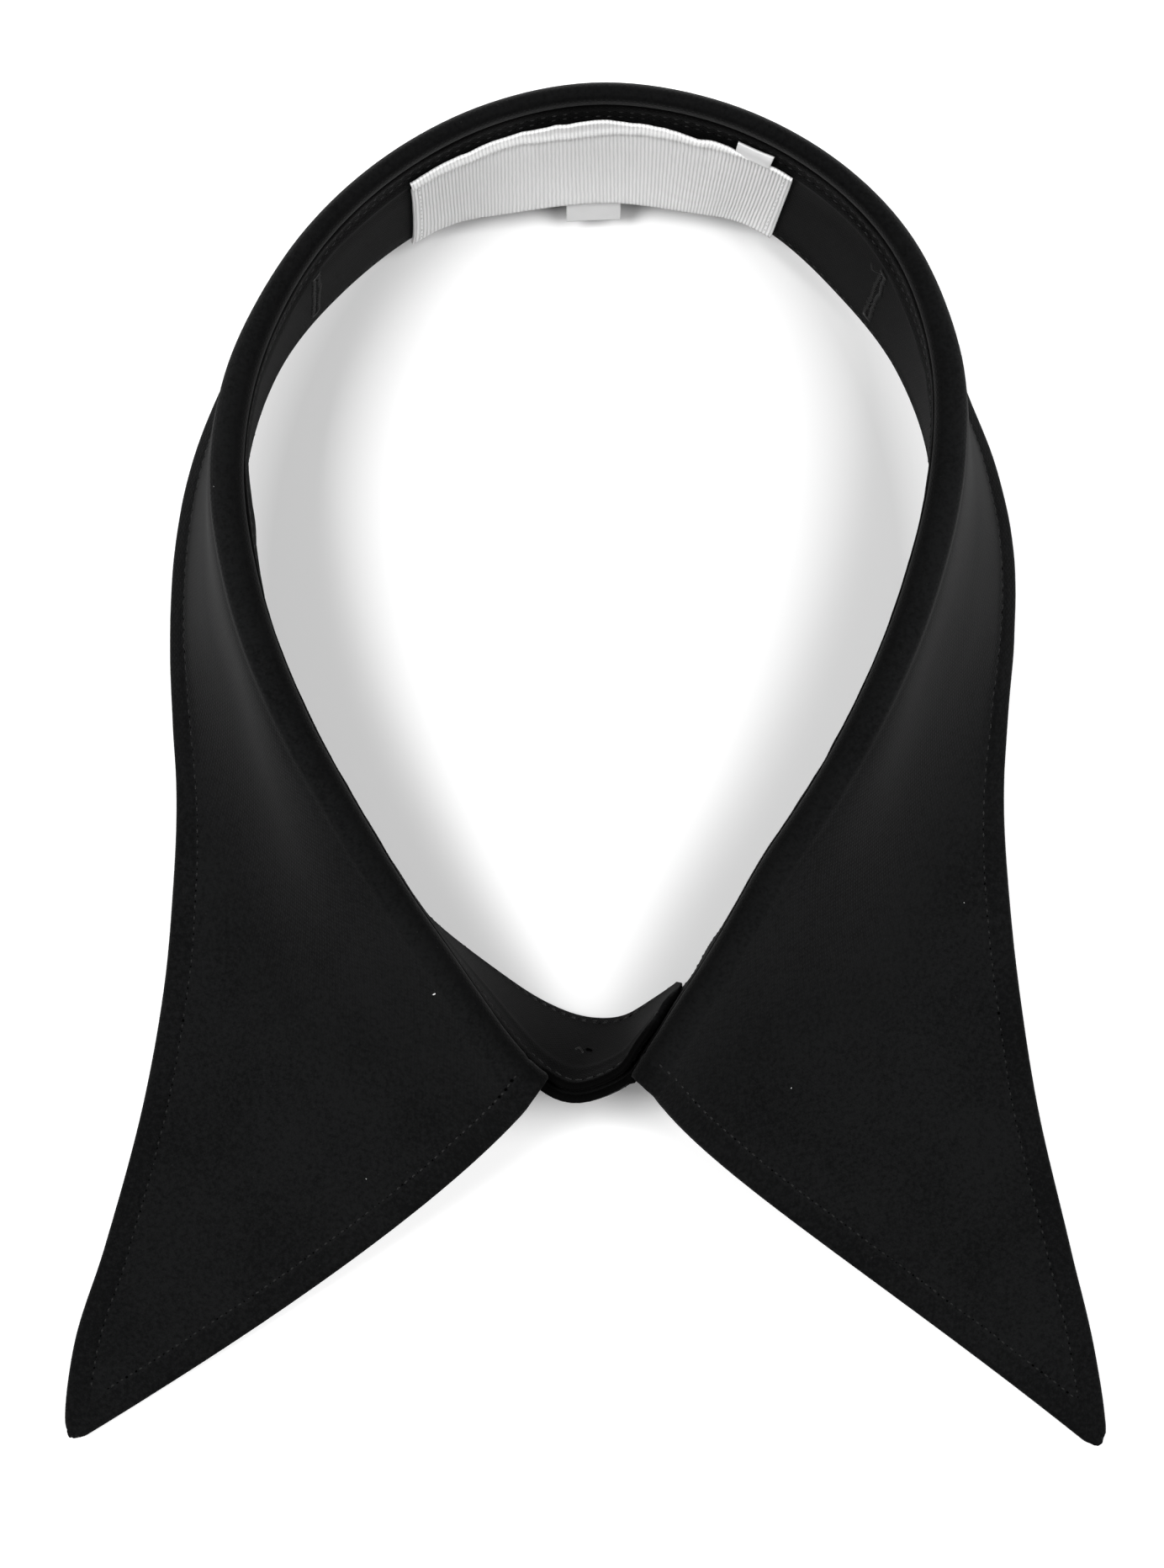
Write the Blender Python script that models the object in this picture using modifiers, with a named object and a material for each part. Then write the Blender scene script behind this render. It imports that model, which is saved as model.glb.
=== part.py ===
"""A detachable shirt collar: a leaf folded over a stand, buttoned into a ring and laid on a table.

Metres, +Z up. The wearer's back is towards +Y and the wearer's left towards +X.
"""

import math
from collections import namedtuple
from itertools import pairwise

import bmesh
import bpy
from mathutils import Matrix, Vector

MM = 0.001

# The tables' y of the part's origin, in millimetres
ORIGIN_Y = -0.85

# Cloth, in millimetres
CLOTH = 1.4
LABEL_THICKNESS = 1.0
GAP = 0.3
SEAM_GAP = 0.6

# Lengths along the neck seam, from the centre back, in millimetres
CENTRE_FRONT = 201.0
NOTCH = 193.5
LEAF_SLIP = 1.5
LAP = 24.5
LAP_STEP = 0.95
LAP_STARTS, LAP_FULL = 150.0, 172.0
TUCK_AT, TUCK_WIDTH, FOOT_TUCK = 168.0, 6.5, 1.0

# The stand's ends, in millimetres
END_TOP_RADIUS = 10.0
END_FOOT_RADIUS = 9.0

# The fold where the leaf turns over the stand
ROLL_RISE = 3.0
ROLL_SQUARENESS = 0.8
FOLD_PULL = 0.24
EDGE_PULL = 0.46
FLARE_WIDTH = 2.6
TIP_RADIUS = 2.2
TIP_REACH = 8.5
REST_HEIGHT = 0.5
REST_BLEND = 2.0
EDGE_CLEAR = 0.02

# Label and tags: lengths along the seam and depths below it, in millimetres
LABEL_SPAN = (-32.6, 30.6)
LABEL_DEPTHS = (4.6, 30.6)
TAG_SPAN = (-6.0, 2.7)
TAG_DEPTHS = (31.0, 36.6)
STAND_TAPER = 0.0055
LABEL_SKEW = 0.02
TAG_END_SPAN = (20.5, 26.5)
TAG_END_DEPTHS = (2.4, 4.3)

# Button, in millimetres
BUTTON_RADIUS = 5.5
BUTTON_HEIGHT = 2.2
BUTTON_RIM = 1.1
BUTTON_DISH = 0.5
BUTTON_DEPTH = 12.0
BUTTON_EASE = 0.5
BUTTON_SIDES = 40
BUTTON_HOLES = 4
HOLE_SIDES = 16
HOLE_RADIUS = 0.65
HOLE_CIRCLE = 1.5

# How finely the grids are laid, and how much closer their lines come towards the leaf's edges
FOLD_STEPS, FLANK_STEPS = 8, 12
FOLD_SHARE = FOLD_STEPS / (FOLD_STEPS + FLANK_STEPS)
FLANK_EASE = 1.4
LEAF_STEPS_HALF = 34
LEAF_EASE = 1.55
STAND_SPANS = ((0, LAP_STARTS, 22), (LAP_STARTS, CENTRE_FRONT + LAP, 27))
STAND_ROWS = 9
STRIP_STEP = 3.0

# The stand, from the centre back to the centre front. Each row is a section of it: half the
# ring's width at the neck seam, its middle, y and height, and the same for the stand's foot.
RingRow = namedtuple("RingRow", "along half_width middle y z foot_half foot_middle foot_y foot_z")
RING = [
    RingRow(0, 0.0, 3.0, 97.3, 38.0, 0.0, 3.0, 85.6, 8.2),
    RingRow(18, 17.5, 3.4, 94.1, 38.0, 13.9, 2.0, 84.0, 8.2),
    RingRow(31, 28.8, 3.5, 88.5, 37.9, 22.6, 1.5, 82.3, 8.0),
    RingRow(52, 43.1, 3.0, 74.9, 37.5, 37.3, 0.5, 71.5, 7.2),
    RingRow(70, 49.9, 1.7, 59.2, 37.0, 47.3, 0.4, 58.9, 6.6),
    RingRow(86, 51.3, 0.4, 44.4, 36.3, 52.2, 0.5, 44.3, 6.4),
    RingRow(106, 47.9, -0.5, 25.4, 35.0, 50.3, -0.4, 24.7, 6.0),
    RingRow(128, 40.1, -0.9, 5.6, 32.5, 42.3, -0.9, 4.6, 5.0),
    RingRow(140, 34.7, -1.0, -4.3, 30.6, 36.2, -1.0, -5.2, 3.8),
    RingRow(152, 28.5, -1.4, -14.3, 28.6, 29.9, -1.4, -14.8, 2.2),
    RingRow(163, 22.6, -1.7, -24.1, 26.7, 23.2, -1.1, -24.4, 1.2),
    RingRow(177, 15.1, -1.7, -35.6, 24.6, 14.6, 0.9, -33.1, 0.6),
    RingRow(186, 10.5, -1.4, -42.4, 23.3, 8.9, 1.8, -37.3, 0.5),
    RingRow(193.5, 6.4, -0.8, -47.4, 22.3, 4.3, 2.6, -39.5, 0.5),
    RingRow(CENTRE_FRONT, 0.0, -1.6, -50.0, 21.8, 0.0, 3.0, -40.1, 0.5),
]

# The leaf, from the centre back to its front edge. Each row is a section from the seam to the
# outer edge: the fold's width, how much wider it is on the wearer's right, the angle on it where
# the flank starts, half the collar's width at the edge, its middle and y, the way the cloth
# arrives there (degrees from sideways towards the front), how steeply it arrives and how far its
# edge turns out. Last come how far the wearer's left lies forward, and the right back, of y, how
# many degrees more the left is turned to the front, and how many degrees each side veers to the
# front as it leaves the fold.
LeafRow = namedtuple(
    "LeafRow",
    "along fold_width right_fold leaves half_width middle y heading tilt flare forward turn "
    "veer_left veer_right",
)
LEAF = [
    LeafRow(0, 2.0, 0, 176, 0.0, 3.0, 100.2, -90, 88, 0, 0, 0, 0, 0),
    LeafRow(18, 2.0, 0, 176, 18.4, 3.4, 97.0, -71, 88, 0, 0, 0, 0, 0),
    LeafRow(31, 2.1, 0, 175, 30.8, 3.5, 91.0, -53, 87, 0, 0, 0, 0, 0),
    LeafRow(52, 2.4, 0, 173, 45.8, 3.1, 76.9, -36, 85, 0, 0, 0, 0, 0),
    LeafRow(62, 2.8, 0, 171, 51.3, 2.1, 67.8, -22, 83, 0.4, 0, 0, 0, 0),
    LeafRow(71, 3.4, 0, 168, 56.0, 1.3, 57.1, -12, 80, 0.9, 0, 0, 0, 0),
    LeafRow(82, 3.8, 0, 162, 60.6, 1.3, 45.5, -5, 80, 1.4, 0, 0, 0, 0),
    LeafRow(95, 4.1, 0, 155, 63.5, 1.4, 31.5, 0, 76, 1.6, 0, 0, 0, 0),
    LeafRow(106, 4.2, 0, 149, 63.9, 1.1, 19.0, 3, 71, 1.6, 0, 0, 0, 0),
    LeafRow(117, 4.2, 0, 144, 63.4, 0.8, 7.0, 5, 56, 1.5, 0, 0, 0, 0),
    LeafRow(128, 4.2, 0, 135, 62.9, 0.8, -6.0, 7, 36, 1.1, 0, 0, 0, 0),
    LeafRow(140, 4.2, 0, 129, 63.6, 0.9, -20.0, 9, 13, 0.5, 0, 0, 0, 0),
    LeafRow(152, 4.2, 0, 127, 65.2, 1.0, -35.5, 12, 2, 0, 0, 0.5, 1, 0),
    LeafRow(163, 4.2, 0, 128, 68.0, 0.8, -52.0, 17, 0, 0, 0, 2.5, 3, -1.5),
    LeafRow(177, 4.3, 0.3, 131, 73.6, 0.4, -74.3, 24, 0, 0, 0.1, 5, 8, -3),
    LeafRow(186, 4.4, 1.0, 132, 77.8, -0.1, -89.9, 28, 0, 0, 0.4, 7, 11, -5),
    LeafRow(190, 4.5, 1.5, 132, 79.0, 0.0, -98.0, 30, 0, 0, 0.6, 7.5, 12.5, -5.5),
    LeafRow(NOTCH, 4.6, 2.0, 131, 79.4, 0.2, -105.3, 31, 0, 0, 0.9, 8, 13.5, -6),
]


def hermite(knots, values, at, end_slopes=(None, None)):
    """Smooth curve through values at knots; a slope is given or taken from the neighbours."""
    last = len(knots) - 1
    spot = next((i for i in range(last) if at < knots[i + 1]), last - 1)
    rises = [(b - a) / (q - p) for (p, a), (q, b) in pairwise(zip(knots, values))]

    def slope(i):
        if i == 0:
            return rises[0] if end_slopes[0] is None else end_slopes[0]
        if i == last:
            return rises[-1] if end_slopes[1] is None else end_slopes[1]
        before, after = knots[i] - knots[i - 1], knots[i + 1] - knots[i]
        return (rises[i - 1] * after + rises[i] * before) / (before + after)

    span = knots[spot + 1] - knots[spot]
    t = (at - knots[spot]) / span
    return (
        values[spot] * (1 + 2 * t) * (1 - t) ** 2
        + slope(spot) * span * t * (1 - t) ** 2
        + values[spot + 1] * t * t * (3 - 2 * t)
        + slope(spot + 1) * span * t * t * (t - 1)
    )


def column(rows, name, at, odd=False):
    """A table's column at a length along the seam. An odd one runs straight through zero at the
    centre back and front, and the others are level there."""
    slopes = (None, None) if odd else (0, 0)
    return hermite([row.along for row in rows], [getattr(row, name) for row in rows], at, slopes)


def smoothstep(low, high, at):
    t = min(1.0, max(0.0, (at - low) / (high - low)))
    return t * t * (3 - 2 * t)


def folded(along):
    """The side and the length from the centre back of the section that a place lies in.

    Negative lengths run to the wearer's right, and both laps pass the centre front.
    """
    side, length = (1, along) if along >= 0 else (-1, -along)
    return (side, length) if length <= CENTRE_FRONT else (-side, 2 * CENTRE_FRONT - length)


def seam_plan(along):
    side, length = folded(along)
    x = column(RING, "middle", length) + side * column(RING, "half_width", length, odd=True)
    return Vector((x, column(RING, "y", length) - ORIGIN_Y, column(RING, "z", length)))


def foot_plan(along):
    side, length = folded(along)
    x = column(RING, "foot_middle", length) + side * column(RING, "foot_half", length, odd=True)
    return Vector((x, column(RING, "foot_y", length) - ORIGIN_Y, column(RING, "foot_z", length)))


def outward(along, line=seam_plan):
    """Unit vector in plan, square to a line round the ring and away from the neck."""
    step = 0.5
    run = line(along + step) - line(along - step)
    return Vector((-run.y, run.x, 0)).normalized()


def lap_shift(along):
    """Near the front the wearer's left passes outside the right."""
    side = 1 if along >= 0 else -1
    return side * LAP_STEP * smoothstep(LAP_STARTS, LAP_FULL, abs(along))


def seam_point(along):
    return seam_plan(along) + outward(along) * lap_shift(along)


def foot_point(along):
    """Just past the inner lap's end the outer lap's foot tucks in against it."""
    tuck = FOOT_TUCK * math.exp(-(((along - TUCK_AT) / TUCK_WIDTH) ** 2))
    return foot_plan(along) + outward(along, foot_plan) * (lap_shift(along) - tuck)


def stand_point(along, depth, off=0.0):
    """A point down the stand's cloth from its top edge, moved out from it by off."""
    top = seam_point(along)
    down = (foot_point(along) - top).normalized()
    out = outward(along)
    face = (out - down * out.dot(down)).normalized()
    return top + down * depth + face * off


def rounded_end(along, radius):
    """How far an end's edge has turned in from its straight line at this place."""
    into = abs(along) - (CENTRE_FRONT + LAP - radius)
    return radius - math.sqrt(max(0.0, radius**2 - max(0.0, into) ** 2))


def stand_section(along, v):
    height = (foot_point(along) - seam_point(along)).length
    top = rounded_end(along, END_TOP_RADIUS)
    foot = height - rounded_end(along, END_FOOT_RADIUS)
    return stand_point(along, top + (foot - top) * v)


def fold_point(width, angle):
    """The fold's section: out from the seam and up, from 0 at the seam to 180 degrees."""
    turn = math.radians(angle)
    cos, sin = math.cos(turn), math.sin(turn)
    out = width / 2 * (1 - math.copysign(abs(cos) ** ROLL_SQUARENESS, cos))
    return out, ROLL_RISE * abs(sin) ** ROLL_SQUARENESS


def leaf_edge(along):
    """The outer edge's point, and the direction in which the cloth arrives there."""
    side = 1 if along >= 0 else -1
    length = abs(along)
    tilt = math.radians(column(LEAF, "tilt", length))
    turn = column(LEAF, "turn", length) if side > 0 else 0
    heading = math.radians(column(LEAF, "heading", length) + turn)
    x = column(LEAF, "middle", length) + side * column(LEAF, "half_width", length, odd=True)
    y = hermite([row.along for row in LEAF], [row.y for row in LEAF], length, (0, None))
    y -= side * column(LEAF, "forward", length)
    point = Vector((x, y - ORIGIN_Y, CLOTH / 2 * math.cos(tilt) + EDGE_CLEAR * math.sin(tilt)))
    plan = Vector((side * math.cos(heading), -math.sin(heading), 0))
    return point, plan * math.cos(tilt) - Vector((0, 0, math.sin(tilt)))


def leaf_seam(along):
    """Where along the stand's seam the leaf's own length meets it: it has slipped at the front."""
    return along - LEAF_SLIP * smoothstep(LAP_STARTS, NOTCH, abs(along))


def leaf_section(along, v):
    """The leaf from its seam (v 0) over the fold (to FOLD_SHARE) and down to its edge (v 1)."""
    length = abs(along)
    width = column(LEAF, "fold_width", length)
    if along < 0:
        width += column(LEAF, "right_fold", length)
    leaves = column(LEAF, "leaves", length)
    seam = leaf_seam(along)
    out = outward(seam)
    base = seam_point(seam)
    base.z += SEAM_GAP

    def on_fold(angle):
        across, up = fold_point(width, angle)
        return base + out * across + Vector((0, 0, up))

    if v <= FOLD_SHARE:
        return on_fold(leaves * v / FOLD_SHARE)
    start, before = on_fold(leaves), on_fold(leaves - 1)
    end, arrives = leaf_edge(along)
    reach = (end - start).length
    first = start + turned(start - before, along) * FOLD_PULL * reach
    second = end - arrives * EDGE_PULL * reach
    t = 1 - ((1 - v) / (1 - FOLD_SHARE)) ** FLANK_EASE
    point = start * (1 - t) ** 3 + first * (3 * t * (1 - t) ** 2)
    point += second * (3 * t * t * (1 - t)) + end * t**3
    point -= flare(along, point, end, t)
    return laid_flat(point, column(LEAF, "tilt", length))


def turned(run, along):
    """The way the cloth leaves the fold, turned a little to the front or the back."""
    veer = column(LEAF, "veer_left" if along >= 0 else "veer_right", abs(along))
    side = 1 if along >= 0 else -1
    return Matrix.Rotation(math.radians(-side * veer), 3, "Z") @ run.normalized()


def flare(along, point, end, t):
    """How far the flank stands in from its plain curve, so that its edge turns out below it."""
    side = 1 if along >= 0 else -1
    heading = math.radians(column(LEAF, "heading", abs(along)))
    depth = column(LEAF, "flare", abs(along)) * smoothstep(0, 0.6, t)
    depth *= 1 - math.exp(-(((end - point).length / FLARE_WIDTH) ** 2))
    return Vector((side * math.cos(heading), -math.sin(heading), 0)) * depth


def laid_flat(point, tilt):
    """Near the points the cloth lies on the table, so the last of its slope is taken out."""
    clear = point.z - CLOTH / 2
    if tilt < 1 and clear < REST_BLEND:
        share = max(0.0, clear - REST_HEIGHT) / (REST_BLEND - REST_HEIGHT)
        point.z = CLOTH / 2 + REST_BLEND * share
    return point


def round_tips(points):
    """Turn each point of the leaf, sharp where its edges meet, with a small radius."""
    for side in (-1, 1):
        tip, _ = leaf_edge(side * NOTCH)
        up_edge = (leaf_edge(side * (NOTCH - 1))[0] - tip).normalized()
        up_front = (leaf_section(side * NOTCH, 0.93) - tip).normalized()
        middle = (up_edge + up_front).normalized()
        spread = math.sin(up_edge.angle(up_front) / 2)
        centre = tip + middle * TIP_RADIUS / spread
        for point in points:
            away = point - centre
            away.z = 0
            beyond = away.dot(middle) < -TIP_RADIUS * spread
            if beyond and away.length > TIP_RADIUS and (point - tip).length < TIP_REACH:
                point.xy = (centre + away.normalized() * TIP_RADIUS).xy


def leaf_stations():
    """Lengths along the leaf's seam, closer together towards its front edges."""
    half = [NOTCH * (1 - (1 - k / LEAF_STEPS_HALF) ** LEAF_EASE) for k in range(LEAF_STEPS_HALF + 1)]
    return [-at for at in reversed(half[1:])] + half


def stand_stations():
    half = [0.0]
    for low, high, steps in STAND_SPANS:
        half += [low + (high - low) * (k + 1) / steps for k in range(steps)]
    return [-at for at in reversed(half[1:])] + half


def even_stations(span):
    steps = max(1, round((span[1] - span[0]) / STRIP_STEP))
    return [span[0] + (span[1] - span[0]) * k / steps for k in range(steps + 1)]


def material(name, color, roughness):
    made = bpy.data.materials.new(name)
    made.use_nodes = True
    shader = made.node_tree.nodes["Principled BSDF"]
    shader.inputs["Base Color"].default_value = (*color, 1)
    shader.inputs["Roughness"].default_value = roughness
    shader.inputs["Metallic"].default_value = 0.0
    return made


def cloth(name, stations, rows, section, thickness, finish, collection, finish_points=None):
    """A wall of cloth: a grid laid through its sections, given its thickness by Solidify."""
    shape = bmesh.new()
    bmesh.ops.create_grid(shape, x_segments=len(stations) - 1, y_segments=rows, size=0.5)
    points = []
    for vertex in shape.verts:
        spot = round((vertex.co.x + 0.5) * (len(stations) - 1))
        points.append(section(stations[spot], 0.5 - vertex.co.y))
    if finish_points:
        finish_points(points)
    for vertex, point in zip(shape.verts, points):
        vertex.co = point * MM
    mesh = bpy.data.meshes.new(name)
    shape.to_mesh(mesh)
    shape.free()
    mesh.shade_smooth()
    mesh.materials.append(finish)
    piece = bpy.data.objects.new(name, mesh)
    collection.objects.link(piece)
    solid = piece.modifiers.new("cloth", "SOLIDIFY")
    solid.thickness = thickness * MM
    solid.offset = 0
    solid.use_even_offset = True
    return piece


def backed_strip(name, span, depths, finish, collection, skew=0.0):
    """A straight strip of ribbon on the stand's inner face, which is a cone that narrows down.

    Its foot is skewed to the wearer's left by a share of its depth.
    """
    off = -(CLOTH / 2 + GAP + LABEL_THICKNESS / 2)
    stations = even_stations(span)

    def section(across, v):
        depth = depths[0] + (depths[1] - depths[0]) * v
        return stand_point(across / (1 - STAND_TAPER * depth) + skew * depth, depth, off)

    rows = max(1, round((depths[1] - depths[0]) / (2 * STRIP_STEP)))
    return cloth(name, stations, rows, section, LABEL_THICKNESS, finish, collection)


def button_profile():
    """Half the button's section, from the middle of its dish round the rim to its flat back."""
    steps = 5
    rim = [
        (
            BUTTON_RADIUS - BUTTON_RIM * (1 - math.sin(math.pi / 2 * k / steps)),
            BUTTON_HEIGHT - BUTTON_RIM * (1 - math.cos(math.pi / 2 * k / steps)),
        )
        for k in range(steps + 1)
    ]
    dish = BUTTON_HEIGHT - BUTTON_DISH
    inner = BUTTON_RADIUS - 2 * BUTTON_RIM
    back = [(BUTTON_RADIUS, BUTTON_EASE), (BUTTON_RADIUS - BUTTON_EASE, 0), (0, 0)]
    return [(0, dish), (inner, dish), *rim, *back]


def front_button(finish, collection, cutters):
    """The button, turned about its own axis and set on the outer lap at the centre front."""
    profile = button_profile()
    mesh = bpy.data.meshes.new("front_button")
    shape = bmesh.new()
    rim = [shape.verts.new((x * MM, 0, z * MM)) for x, z in profile]
    for first, second in pairwise(rim):
        shape.edges.new((first, second))
    shape.to_mesh(mesh)
    shape.free()
    mesh.materials.append(finish)
    button = bpy.data.objects.new("front_button", mesh)
    collection.objects.link(button)
    turned = button.modifiers.new("turned", "SCREW")
    turned.steps = turned.render_steps = BUTTON_SIDES
    turned.use_merge_vertices = True
    turned.merge_threshold = 0.00001
    back = stand_point(CENTRE_FRONT, BUTTON_DEPTH, CLOTH / 2 + GAP)
    faces = stand_point(CENTRE_FRONT, BUTTON_DEPTH, CLOTH / 2 + GAP + 1) - back
    place = Matrix.Translation(back * MM) @ faces.to_track_quat("Z", "Y").to_matrix().to_4x4()
    button.matrix_world = place
    for k in range(BUTTON_HOLES):
        turn = math.tau * (k + 0.5) / BUTTON_HOLES
        spot = Vector((math.cos(turn), math.sin(turn), 0)) * HOLE_CIRCLE
        bpy.ops.mesh.primitive_cylinder_add(
            vertices=HOLE_SIDES, radius=HOLE_RADIUS * MM, depth=3 * BUTTON_HEIGHT * MM
        )
        cutter = bpy.context.object
        cutter.name = f"button_hole_cutter_{k + 1}"
        cutter.matrix_world = place @ Matrix.Translation(spot * MM)
        cutter.hide_render = True
        cutter.display_type = "WIRE"
        for home in list(cutter.users_collection):
            home.objects.unlink(cutter)
        cutters.objects.link(cutter)
        cut = button.modifiers.new(f"hole_{k + 1}", "BOOLEAN")
        cut.operation = "DIFFERENCE"
        cut.object = cutter
    return button


def collection_named(name):
    made = bpy.data.collections.new(name)
    bpy.context.scene.collection.children.link(made)
    return made


def build_collar():
    for thing in list(bpy.data.objects):
        bpy.data.objects.remove(thing)
    collar = collection_named("detachable_shirt_collar")
    cutters = collection_named("cutters")
    black = material("collar_cloth", (0.012, 0.013, 0.013), 0.85)
    white = material("label_ribbon", (0.66, 0.66, 0.66), 0.8)
    satin = material("tag_satin", (0.72, 0.72, 0.72), 0.55)
    plastic = material("button_black", (0.012, 0.012, 0.013), 0.3)
    cloth(
        "leaf", leaf_stations(), FOLD_STEPS + FLANK_STEPS, leaf_section, CLOTH, black, collar, round_tips
    )
    cloth("stand", stand_stations(), STAND_ROWS, stand_section, CLOTH, black, collar)
    backed_strip("label", LABEL_SPAN, LABEL_DEPTHS, white, collar, LABEL_SKEW)
    backed_strip("hanging_tag", TAG_SPAN, TAG_DEPTHS, satin, collar)
    backed_strip("tag_end", TAG_END_SPAN, TAG_END_DEPTHS, satin, collar)
    front_button(plastic, collar, cutters)


build_collar()
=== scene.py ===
import math
from collections import namedtuple
from itertools import pairwise

import bmesh
import bpy
from mathutils import Matrix, Vector, kdtree, noise
from mathutils.bvhtree import BVHTree


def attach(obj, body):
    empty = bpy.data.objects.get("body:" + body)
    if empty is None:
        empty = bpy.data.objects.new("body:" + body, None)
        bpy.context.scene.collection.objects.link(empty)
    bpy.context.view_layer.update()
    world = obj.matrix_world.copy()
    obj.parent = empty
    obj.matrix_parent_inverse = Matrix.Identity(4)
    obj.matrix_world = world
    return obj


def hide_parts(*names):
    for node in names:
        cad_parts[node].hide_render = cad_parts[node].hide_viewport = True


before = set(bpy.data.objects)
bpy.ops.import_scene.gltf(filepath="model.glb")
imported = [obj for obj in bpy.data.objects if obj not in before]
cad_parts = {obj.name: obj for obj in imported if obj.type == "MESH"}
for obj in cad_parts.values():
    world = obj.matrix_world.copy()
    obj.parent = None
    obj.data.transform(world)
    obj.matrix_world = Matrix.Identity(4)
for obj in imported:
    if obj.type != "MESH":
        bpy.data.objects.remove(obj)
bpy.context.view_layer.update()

MM = 0.001

# The cut of the collar, in millimetres: the same sections as the solids follow
ORIGIN_Y = -0.85
CLOTH = 1.4
CENTRE_FRONT = 201.0
NOTCH = 193.5
LEAF_SLIP = 1.5
LAP = 24.5
LAP_STEP = 0.95
LAP_STARTS, LAP_FULL = 150.0, 172.0
TUCK_AT, TUCK_WIDTH, FOOT_TUCK = 168.0, 6.5, 1.0
END_TOP_RADIUS = 10.0
END_FOOT_RADIUS = 9.0
GAP = 0.3
SEAM_GAP = 0.6
ROLL_RISE = 3.0
ROLL_SQUARENESS = 0.8
FOLD_PULL = 0.24
EDGE_PULL = 0.46
FLARE_WIDTH = 2.6
TIP_RADIUS = 2.2
TIP_REACH = 8.5
REST_HEIGHT = 0.5
REST_BLEND = 2.0
LABEL_SPAN = (-32.6, 30.6)
LABEL_DEPTHS = (4.6, 30.6)
TAG_SPAN = (-6.0, 2.7)
TAG_DEPTHS = (31.0, 36.6)
TAG_END_SPAN = (20.5, 26.5)
TAG_END_DEPTHS = (2.4, 4.3)
STAND_TAPER = 0.0055
LABEL_SKEW = 0.02
BUTTON_DEPTH = 12.0
BUTTON_HEIGHT = 2.2
BUTTON_DISH = 0.5
HOLE_CIRCLE = 1.5

RingRow = namedtuple("RingRow", "along half_width middle y z foot_half foot_middle foot_y foot_z")
RING = [
    RingRow(0, 0.0, 3.0, 97.3, 38.0, 0.0, 3.0, 85.6, 8.2),
    RingRow(18, 17.5, 3.4, 94.1, 38.0, 13.9, 2.0, 84.0, 8.2),
    RingRow(31, 28.8, 3.5, 88.5, 37.9, 22.6, 1.5, 82.3, 8.0),
    RingRow(52, 43.1, 3.0, 74.9, 37.5, 37.3, 0.5, 71.5, 7.2),
    RingRow(70, 49.9, 1.7, 59.2, 37.0, 47.3, 0.4, 58.9, 6.6),
    RingRow(86, 51.3, 0.4, 44.4, 36.3, 52.2, 0.5, 44.3, 6.4),
    RingRow(106, 47.9, -0.5, 25.4, 35.0, 50.3, -0.4, 24.7, 6.0),
    RingRow(128, 40.1, -0.9, 5.6, 32.5, 42.3, -0.9, 4.6, 5.0),
    RingRow(140, 34.7, -1.0, -4.3, 30.6, 36.2, -1.0, -5.2, 3.8),
    RingRow(152, 28.5, -1.4, -14.3, 28.6, 29.9, -1.4, -14.8, 2.2),
    RingRow(163, 22.6, -1.7, -24.1, 26.7, 23.2, -1.1, -24.4, 1.2),
    RingRow(177, 15.1, -1.7, -35.6, 24.6, 14.6, 0.9, -33.1, 0.6),
    RingRow(186, 10.5, -1.4, -42.4, 23.3, 8.9, 1.8, -37.3, 0.5),
    RingRow(193.5, 6.4, -0.8, -47.4, 22.3, 4.3, 2.6, -39.5, 0.5),
    RingRow(CENTRE_FRONT, 0.0, -1.6, -50.0, 21.8, 0.0, 3.0, -40.1, 0.5),
]
LeafRow = namedtuple(
    "LeafRow",
    "along fold_width right_fold leaves half_width middle y heading tilt flare forward turn "
    "veer_left veer_right",
)
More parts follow.
